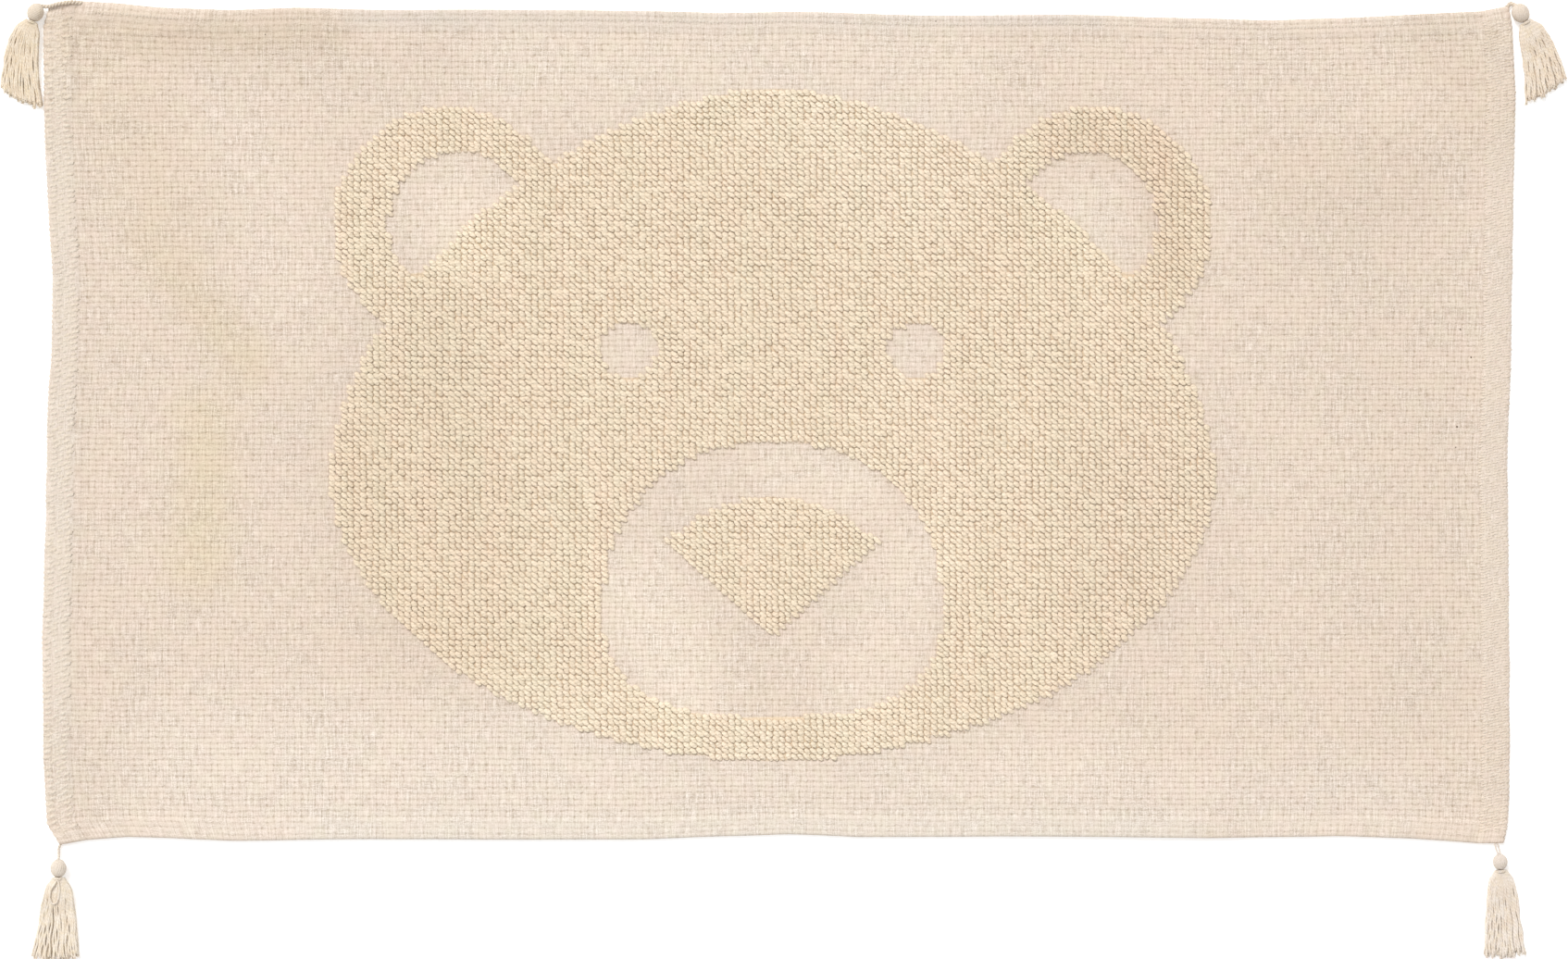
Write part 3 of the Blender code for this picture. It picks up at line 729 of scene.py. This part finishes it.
def yarn_mesh(name, routes, thickness, twist_mm):
    """Round yarns in one mesh: a tube along each route, whose points carry their own widths.

    The map "ply" counts the plies round the yarn in X and its twists along it in Y.
    """
    curve = bpy.data.curves.new(name, "CURVE")
    curve.dimensions = "3D"
    curve.bevel_depth = thickness / 2
    curve.bevel_resolution = 1
    curve.use_fill_caps = True
    for route in routes:
        spline = curve.splines.new("POLY")
        spline.points.add(len(route) - 1)
        for point, (spot, width) in zip(spline.points, route):
            point.co = (*spot, 1.0)
            point.radius = width
    mesh = evaluated_mesh(put_in_scene(name, curve))
    lengths = [sum((after[0] - before[0]).length for before, after in zip(route, route[1:]))
               for route in routes]
    turns = sum(lengths) / len(lengths) / twist_mm
    layer = mesh.uv_layers[0]
    layer.name = "ply"
    for corner in layer.data:
        along, across = corner.uv
        corner.uv = (across * PLIES, along * turns)
    return mesh


Copy = namedtuple("Copy", "spot turn size tint")


def copies_mesh(copies, template):
    """One mesh with a copy of the template at each spot, turned and sized as its row says."""
    bm = bmesh.new()
    turn = bm.verts.layers.float_vector.new("turn")
    size = bm.verts.layers.float_vector.new("size")
    tint = bm.verts.layers.float.new("tint")
    tone = bm.verts.layers.float_vector.new("tone")
    for copy in copies:
        vert = bm.verts.new(copy.spot)
        vert[turn] = Vector([math.radians(degrees) for degrees in copy.turn])
        vert[size] = Vector(copy.size)
        vert[tint] = copy.tint
        # The patches' tone, in part painted shade along folds and creases.
        vert[tone] = patch_tone(copy.spot.x, copy.spot.y)

    tree = bpy.data.node_groups.new("copies", "GeometryNodeTree")
    for way in ("INPUT", "OUTPUT"):
        tree.interface.new_socket("Geometry", in_out=way, socket_type="NodeSocketGeometry")
    start = tree.nodes.new("NodeGroupInput").outputs[0]
    pattern = add_node(tree, "ObjectInfo", {"Object": template}, give="Geometry")
    turns = add_node(tree, "InputNamedAttribute", {"Name": "turn"}, data_type="FLOAT_VECTOR")
    sizes = add_node(tree, "InputNamedAttribute", {"Name": "size"}, data_type="FLOAT_VECTOR")
    placed = add_node(tree, "InstanceOnPoints",
                      {"Points": start, "Instance": pattern, "Rotation": turns, "Scale": sizes})
    whole = add_node(tree, "RealizeInstances", {"Geometry": placed})
    tree.links.new(whole, tree.nodes.new("NodeGroupOutput").inputs[0])
    thing = put_in_scene("copies", to_mesh("points", bm))
    thing.modifiers.new("copies", "NODES").node_group = tree
    mesh = evaluated_mesh(thing)
    for spare in ("turn", "size"):
        mesh.attributes.remove(mesh.attributes[spare])
    return mesh


# ---- the cloth ----

def sheet_lines():
    """The even sheet's grid lines: closer at the end hems, and three to each weft row."""
    inner = LENGTH / 2 - END_LINES[-1]
    columns = [inner * (2 * step / MIDDLE_COLUMNS - 1) for step in range(1, MIDDLE_COLUMNS)]
    columns += [sign * (LENGTH / 2 - line) for line in END_LINES for sign in (-1, 1)]
    last = WEFT_ROWS * LINES_A_ROW
    rows = [WIDTH * (step / last - 0.5) for step in range(last + 1) if step not in (1, last - 1)]
    return sorted(columns), rows


def even_sheet():
    """The sheet as a closed, even slab."""
    columns, rows = sheet_lines()
    across = len(columns) - 1
    along = len(rows) - 1
    bm = bmesh.new()
    bmesh.ops.create_grid(bm, x_segments=across, y_segments=along, size=0.5)
    for vert in bm.verts:
        column = round((vert.co.x + 0.5) * across)
        row = round((vert.co.y + 0.5) * along)
        vert.co = Vector((columns[column], rows[row], 0.0))
    top = bmesh.ops.extrude_face_region(bm, geom=list(bm.faces), use_keep_orig=True)["geom"]
    top_verts = [item for item in top if isinstance(item, bmesh.types.BMVert)]
    bmesh.ops.translate(bm, verts=top_verts, vec=(0, 0, CLOTH_THICK))
    bmesh.ops.recalc_face_normals(bm, faces=bm.faces)
    return bm


def thin_underside(bm):
    """Join the underside's faces across each weft row, because it is not ribbed."""
    spare = []
    for edge in bm.edges:
        one, other = (vert.co for vert in edge.verts)
        step = round((one.y / WIDTH + 0.5) * WEFT_ROWS * LINES_A_ROW)
        inside = all(face.normal.z < -0.5 for face in edge.link_faces)
        if inside and abs(one.y - other.y) < 0.01 and step % LINES_A_ROW:
            spare.append(edge)
    bmesh.ops.dissolve_edges(bm, edges=spare, use_verts=True)


def round_rim(bm):
    """Bevel the edges between a flat face and a steep one."""
    rim = [edge for edge in bm.edges
           if len({abs(face.normal.z) > 0.5 for face in edge.link_faces}) == 2]
    bmesh.ops.bevel(bm, geom=rim, offset=RIM_ROUND, segments=2, profile=0.5, affect="EDGES",
                    material=-1)


def row_wave(y):
    """0 in the grooves between two weft rows and 1 on their crests."""
    return 0.5 - 0.5 * math.cos(math.tau * (y / WIDTH + 0.5) * WEFT_ROWS)


def surface_relief(x, y):
    """Height of the upper face over the plain ground: the hems and the weft rows."""
    from_end, from_side = from_edges(x, y)
    end = read_rows(END_PROFILE, from_end)[0]
    side = read_rows(SIDE_PROFILE, from_side)[0]
    hem = max(end, side) if end * side == 0 or from_end < END_HEM else min(end, side)
    return hem + RIB_HIGH * row_wave(y)


def lay_sheet(bm):
    """Give the even slab its weave map, hems, rows, outline and folds."""
    weave = bm.loops.layers.uv.new("weave")
    hem = bm.verts.layers.float.new("hem")
    tone = bm.verts.layers.float_vector.new("tone")
    for face in bm.faces:
        for corner in face.loops:
            x, y, z = corner.vert.co
            corner[weave].uv = (x / (2 * WARP_PITCH), (y + WIDTH / 2) / WEFT_PITCH)
    for vert in bm.verts:
        x, y, z = vert.co
        from_end, from_side = from_edges(x, y)
        flat = place(x, y) + wander(x, y)
        flat.x += math.copysign(SCALLOP * row_wave(y) * clamp(1 - from_end / SCALLOP_REACH), x)
        relief = surface_relief(x, y) + band_height(CREASES, *flat)
        rise = band_height(FOLDS, *flat)
        vert[hem] = smooth(max(END_HEM - from_end, SIDE_HEM - from_side) / HEM_STEP + 0.5)
        vert[hem] *= 1 - HEM_OPEN * smooth((abs(y) - HEM_OPEN_FROM) / HEM_OPEN_RUN)
        # The patches' tone, in part painted shade along folds and creases.
        vert[tone] = patch_tone(*flat)
        if all(bear_part(x + aside, y) for aside in (-GROUND_SHOWS, 0, GROUND_SHOWS)):
            vert[tone] *= Vector(UNDER_LOOPS)
        vert.co = Vector((*flat, rise + z / CLOTH_THICK * (CLOTH_THICK + relief)))


def build_sheet(material):
    bm = even_sheet()
    thin_underside(bm)
    round_rim(bm)
    lay_sheet(bm)
    return finish_piece("ground_sheet", to_mesh("ground_sheet", bm), material)


# ---- small yarns and seed husks ----

def mapped_ball(sides, rings, turned_about):
    """A ball of unit radius, turned from upright by a quarter turn, and its map "ply"."""
    bm = bmesh.new()
    ply = bm.loops.layers.uv.new("ply")
    bmesh.ops.create_uvsphere(bm, u_segments=sides, v_segments=rings, radius=1.0, calc_uvs=True,
                              matrix=Matrix.Rotation(math.radians(90), 4, turned_about))
    return bm, ply


def plump_template(sides, rings):
    """A plump oval of unit size whose ends bend down, as a yarn does that goes into the cloth."""
    bm, ply = mapped_ball(sides, rings, "Y")
    # Painted shade on the lower part of the oval, which the yarn's material darkens.
    deep = bm.verts.layers.float.new("deep")
    for vert in bm.verts:
        reach = sum(abs(part) ** PLUMPNESS for part in vert.co) ** (-1 / PLUMPNESS)
        vert[deep] = smooth((LOOP_SHADE_BELOW - vert.co.z) / LOOP_SHADE_BELOW)
        vert.co *= reach
        vert.co.z -= LOOP_DROOP * vert.co.x ** 2
    for face in bm.faces:
        for corner in face.loops:
            corner[ply].uv *= Vector((PLIES, LOOP_TURNS))
    return bpy.data.objects.new("plump_template", to_mesh("plump_template", bm))


def lie(x, y, over):
    """A spot at a height over the cloth's upper face, at a place given on the even cloth."""
    flat = place(x, y) + wander(x, y)
    face = CLOTH_THICK + surface_relief(x, y) + band_height(CREASES, *flat)
    return Vector((*flat, band_height(FOLDS, *flat) + face + over))


def uneven(size, chance):
    return [part * (1 + chance.gauss(0, SIZE_SCATTER)) for part in size]


def bear_loops():
    """The loops of each part of the face."""
    chance = random.Random(11)
    found = {}
    columns = round(FINE_REACH_X / LOOP_WIDE)
    rows = round(FINE_REACH_Y / ROW_HIGH)
    for row in range(-rows, rows):
        for column in range(-columns, columns):
            x = BEAR_X + (column + 0.5) * LOOP_WIDE
            y = (row + 0.5) * ROW_HIGH
            part = bear_part(x, y)
            if part:
                spot = lie(x + chance.uniform(-LOOP_SHIFT, LOOP_SHIFT),
                           y + chance.uniform(-LOOP_SHIFT, LOOP_SHIFT), LOOP_OVER)
                turn = [degrees + chance.gauss(0, LOOP_SCATTER_DEG)
                        for degrees in (LOOP_TILT_DEG, LOOP_DIP_DEG, LOOP_LEAN_DEG)]
                found.setdefault(part, []).append(
                    Copy(spot, turn, uneven(LOOP_SIZE, chance), chance.random()))
    return found


def hem_turns():
    """The weft yarns that turn back in the hems of the short ends, in staggered columns."""
    chance = random.Random(3)
    copies = []
    for turns in TURNS:
        count = WEFT_ROWS * turns.a_row
        for number, from_end in enumerate(turns.columns):
            for row in range(count):
                share = (row + 0.5 + 0.5 * number) / count
                if abs(share - 0.5) > TURNS_REACH:
                    continue
                lean = turns.near_lean + share * (turns.far_lean - turns.near_lean)
                turn = (0, 0, lean + chance.gauss(0, TURN_SCATTER_DEG))
                x = turns.end * (LENGTH / 2 - from_end + chance.uniform(-TURN_SHIFT, TURN_SHIFT))
                spot = lie(x, WIDTH * (share - 0.5), -TURN_SUNK)
                copies.append(Copy(spot, turn, uneven(turns.size, chance), chance.random()))
    return copies


def hem_stitches():
    """The overcast stitches that hold the hems of the long sides, one to each warp."""
    chance = random.Random(7)
    copies = []
    count = int(2 * STITCHES_REACH / WARP_PITCH)
    for side, sunk in ((-1, NEAR_STITCH_SUNK), (1, FAR_STITCH_SUNK)):
        for number in range(count):
            x = (number - (count - 1) / 2) * WARP_PITCH
            from_edge = STITCH_FROM_EDGE + chance.uniform(-STITCH_SHIFT, STITCH_SHIFT)
            spot = lie(x, side * (WIDTH / 2 - from_edge), -sunk)
            turn = (0, 0, 90 + chance.gauss(0, STITCH_SCATTER_DEG))
            copies.append(Copy(spot, turn, uneven(STITCH_SIZE, chance), chance.random()))
    return copies


def seed_husks():
    chance = random.Random(2)
    return [Copy(lie(seed.x, seed.y, SEED_OVER), (0, 0, chance.uniform(0, 180)),
                 uneven((seed.size / 2, seed.size / 3, SEED_HALF_HIGH), chance), 0.0)
            for seed in SEEDS]


def build_small_yarns():
    loop = plump_template(8, 4)
    slim = plump_template(6, 3)
    bear = looped_cotton_yarn()
    hems = hem_cotton_yarn()
    groups = [("bear_" + part, copies, loop, bear) for part, copies in bear_loops().items()]
    groups += [("end_hem_turns", hem_turns(), slim, hems),
               ("side_hem_stitches", hem_stitches(), slim, hems),
               ("seed_husks", seed_husks(), loop, cotton_husk())]
    pieces = [finish_piece(name, copies_mesh(copies, template), material)
              for name, copies, template, material in groups]
    bpy.data.objects.remove(loop)
    bpy.data.objects.remove(slim)
    return pieces


# ---- the tassels ----

def yarn_spot(tassel, across, up, along, level):
    """Where a skirt yarn runs: across and up are its place in the bundle, from -1 to 1."""
    half_wide, half_high, middle_z = read_rows(HEAD_ROWS, along)
    down = clamp((along - HEAD_ROWS[COLLAR_ROW].along) / tassel.length)
    half_wide += down ** FLARE_BEND * (tassel.spread / 2 - half_wide)
    root_z = middle_z + up * half_high * math.sqrt(1 - HEAD_OVAL * across * across)
    x = across * half_wide + tassel.sweep * down ** SWEEP_BEND
    z = root_z + smooth(down / FALL_PART) * (level - root_z)
    return Vector((x, -along, max(z, YARN_THICK / 2)))


def parted(tassel, across, part):
    """How far the yarns of a skirt lie aside where it is parted."""
    aside = across - PARTED_AT[tassel.name]
    fade = math.sin(math.pi * clamp((part - PARTED_FROM) / PARTED_LONG))
    return math.copysign(PARTED_BY * fade * clamp(1 - abs(aside) / PARTED_WIDE), aside)


def yarn_route(tassel, layer, across, chance):
    """A skirt yarn from the tie to its tip: its spots, each with its share of the thickness."""
    up = (2 * layer + 1) / SKIRT_LAYERS - 1
    level = YARN_THICK * (0.5 + LAYER_STEP * layer)
    loose = 1.0 if layer else LOWEST_LOOSE
    stray = chance.gauss(0, YARN_STRAY / 2)
    phase = chance.uniform(0, math.tau)
    waves = chance.uniform(*YARN_WAVES)
    tie = HEAD_ROWS[NECK_ROW].along - 1
    long_part = 1 - TIP_ROUND * across * across + chance.gauss(0, TIP_SCATTER / 2)
    reach = HEAD_ROWS[COLLAR_ROW].along - tie + tassel.length * long_part
    route = []
    for step in range(SKIRT_STEPS + 1):
        part = step / SKIRT_STEPS
        free = smooth(part / SWAY_FROM)
        spot = yarn_spot(tassel, across, up, tie + part * reach, level)
        spot.x += loose * part * part * stray
        if layer and tassel.name in PARTED_AT:
            spot.x += parted(tassel, across, part)
        spot.x += loose * YARN_WAVE * free * math.sin(phase + waves * math.tau * part)
        spot.z += YARN_LIFT * free * (1 + math.sin(2 * phase + math.tau * part))
        route.append((spot, NARROW_AT_TIE + (1 - NARROW_AT_TIE) * smooth(part / THICK_FROM)))
    return route


def opened_tip(route, chance):
    """The two short plies into which the tip of a yarn opens."""
    tip, before = route[-1][0], route[-2][0]
    heading = (tip - before).normalized()
    aside = Vector((heading.y, -heading.x, 0.0))
    plies = []
    for way in (-1, 1):
        start = tip - heading + aside * way * FRAY_ROOT
        end = tip + heading * chance.uniform(*FRAY_LONG)
        end += aside * way * chance.uniform(*FRAY_APART)
        end.z = max(end.z - FRAY_SAG, YARN_THICK / 4)
        plies.append(list(zip((start, start.lerp(end, 0.5), end), FRAY_WIDTHS)))
    return plies


def skirt_routes(tassel, chance):
    """The yarns of a skirt, and the short plies into which their tips open."""
    yarns = []
    frays = []
    for layer in range(SKIRT_LAYERS):
        count = SKIRT_YARNS - layer
        for number in range(count):
            across = (2 * number + 1) / count - 1 + chance.uniform(-0.5, 0.5) / count
            yarns.append(yarn_route(tassel, layer, clamp(across, -1.0, 1.0), chance))
            frays += opened_tip(yarns[-1], chance)
    return yarns, frays


def build_ball(size, swirl):
    """The ball: yarns laid over it from the cord to the tie, as soft ribs that turn a little.

    The map "ply" counts those yarns in X, so its painted shade runs in the groove between two ribs.
    """
    bm, ply = mapped_ball(4 * BALL_YARNS, BALL_RINGS, "X")
    for face in bm.faces:
        for corner in face.loops:
            round_part = corner[ply].uv.x + swirl * corner.vert.co.y / math.tau
            corner[ply].uv = (round_part * BALL_YARNS, 0.0)
    belt = HEAD_ROWS[BELT_ROW]
    for vert in bm.verts:
        x, y, z = vert.co
        angle = math.atan2(z, x) + swirl * y
        rib = BALL_RIB * (abs(math.cos(angle * BALL_YARNS / 2)) - RIB_MIDDLE)
        lump = BALL_LUMP * noise.noise(vert.co * BALL_LUMPS)
        swell = 1 + rib + lump
        vert.co = Vector((x * belt.half_wide * size * swell,
                          (y + 1) * BALL_HALF_LONG * size * (1 + lump) - BALL_LOW,
                          belt.middle_z + z * belt.half_high * size * swell))
    return to_mesh("ball", bm)


def tie_route():
    """A few close turns of thin yarn round the neck below the ball."""
    neck = HEAD_ROWS[NECK_ROW]
    steps = TIE_STEPS * TIE_TURNS
    route = []
    for step in range(steps + 1):
        angle = math.tau * TIE_TURNS * step / steps
        along = neck.along - TIE_ABOVE + step / TIE_STEPS * TIE_THICK * TIE_LAY
        route.append((Vector((neck.half_wide * math.cos(angle), -along,
                              neck.middle_z + neck.half_high * math.sin(angle))), 1.0))
    return route


def twist_plies(spots, offset, eye):
    """Two plies that wind round a line of spots, or part in the middle to form an eye."""
    plies = ([], [])
    gone = 0.0
    for number, spot in enumerate(spots):
        ahead = spots[min(number + 1, len(spots) - 1)]
        behind = spots[max(number - 1, 0)]
        heading = (ahead - behind).normalized()
        aside = heading.cross(Vector((0, 0, 1))).normalized()
        above = aside.cross(heading)
        gone += (spot - behind).length
        opening = eye * math.sin(math.pi * number / (len(spots) - 1))
        for which, ply in enumerate(plies):
            angle = math.pi * which + (0 if eye else math.tau * gone / CORD_LAY)
            ply.append((spot + (offset + opening) * (math.cos(angle) * aside
                                                     + math.sin(angle) * above), 1.0))
    return list(plies)


def cord_spots(tassel):
    """The middle line of the cord from the cloth's corner into the crown of the ball."""
    if tassel.name in CORD_STARTS:
        stations = [Vector(spot) for spot in CORD_STARTS[tassel.name]]
    else:
        seat, outward = corner_seat(tassel.end, tassel.side)
        start = (seat + outward * SEAT).to_3d()
        start.z = CORD_MIDDLE_Z
        stations = [start, start + outward.to_3d() * CORD_STRAIGHT]
    turn = Matrix.Rotation(math.radians(tassel.turn), 4, "Z")
    head = Vector((tassel.head_x, tassel.head_y, HEAD_ROWS[BELT_ROW].middle_z))
    crown = head + turn @ Vector((0, 2 * BALL_HALF_LONG * tassel.ball - BALL_LOW - CORD_IN_BALL, 0))
    stations += [stations[-1].lerp(crown, 0.5) - Vector((0, 0, CORD_SAG)), crown]
    spots = []
    for low, high in zip(stations, stations[1:]):
        count = max(2, round((high - low).length / CORD_STEP))
        spots += [low.lerp(high, step / count) for step in range(count)]
    return spots + [stations[-1]]


def build_tassel(tassel, material, wound, chance):
    to_cloth = (Matrix.Translation((tassel.head_x, tassel.head_y, 0))
                @ Matrix.Rotation(math.radians(tassel.turn), 4, "Z"))
    name = tassel.name
    yarns, frays = skirt_routes(tassel, chance)
    meshes = {
        "_skirt": yarn_mesh("skirt", yarns, YARN_THICK, SKIRT_TWIST),
        "_tips": yarn_mesh("tips", frays, YARN_THICK, OPEN_TWIST),
        "_ball": build_ball(tassel.ball, tassel.swirl),
        "_tie": yarn_mesh("tie", [tie_route()], TIE_THICK, TIE_TWIST),
    }
    for mesh in meshes.values():
        mesh.transform(to_cloth)
    plies = twist_plies(cord_spots(tassel), tassel.ply * PLY_OFFSET, tassel.eye)
    meshes["_cord"] = yarn_mesh("cord", plies, tassel.ply, CORD_TWIST)
    if name == "near_left":
        route = [(Vector(spot), 1.0) for spot in LOOSE_LOOP]
        meshes["_loose_loop"] = yarn_mesh("loose_loop", [route], LOOSE_LOOP_THICK, OPEN_TWIST)
    pieces = []
    for part, mesh in meshes.items():
        yarn = wound if part in ("_ball", "_cord") else material
        pieces.append(finish_piece(name + part, mesh, yarn, tassel.light))
    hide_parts("tassel_" + name)
    return pieces


# ---- camera, light and floor ----

def build_camera():
    """Straight above, at the photograph's framing."""
    data = bpy.data.cameras.new("camera")
    data.lens = data.sensor_width * CAMERA_HIGH / PICTURE_WIDE
    camera = put_in_scene("camera", data)
    camera.location = TO_FRAME @ Vector((*PICTURE_MIDDLE, CAMERA_HIGH))
    bpy.context.scene.camera = camera


def build_studio():
    """White surroundings, a wide soft light from the upper left, and the floor."""
    world = bpy.data.worlds.new("studio")
    world.use_nodes = True
    backdrop = world.node_tree.nodes["Background"]
    backdrop.inputs["Color"].default_value = (1.0, 1.0, 1.0, 1.0)
    backdrop.inputs["Strength"].default_value = SKY_STRENGTH
    bpy.context.scene.world = world
    bpy.context.scene.view_settings.view_transform = "Standard"
    data = bpy.data.lights.new("soft_light", "SUN")
    data.energy = SUN_STRENGTH
    data.angle = math.radians(SUN_SPREAD_DEG)
    light = put_in_scene("soft_light", data)
    light.rotation_euler = (-Vector(SUN_FROM)).to_track_quat("-Z", "Y").to_euler()
    bm = bmesh.new()
    bmesh.ops.create_grid(bm, x_segments=1, y_segments=1, size=FLOOR_HALF * MM)
    floor = put_in_scene("floor", to_mesh("floor", bm))
    floor.data.transform(Matrix.Translation((0, 0, FLOOR_LOW * MM)))
    floor.data.materials.append(opal_acrylic())


def main():
    build_camera()
    build_studio()
    sheet = build_sheet(woven_undyed_cotton())
    others = build_small_yarns()
    yarn = twisted_tassel_yarn()
    wound = wound_tassel_yarn()
    chance = random.Random(5)
    for tassel in TASSELS:
        others += build_tassel(tassel, yarn, wound, chance)
    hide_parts("rug_cloth")


main()
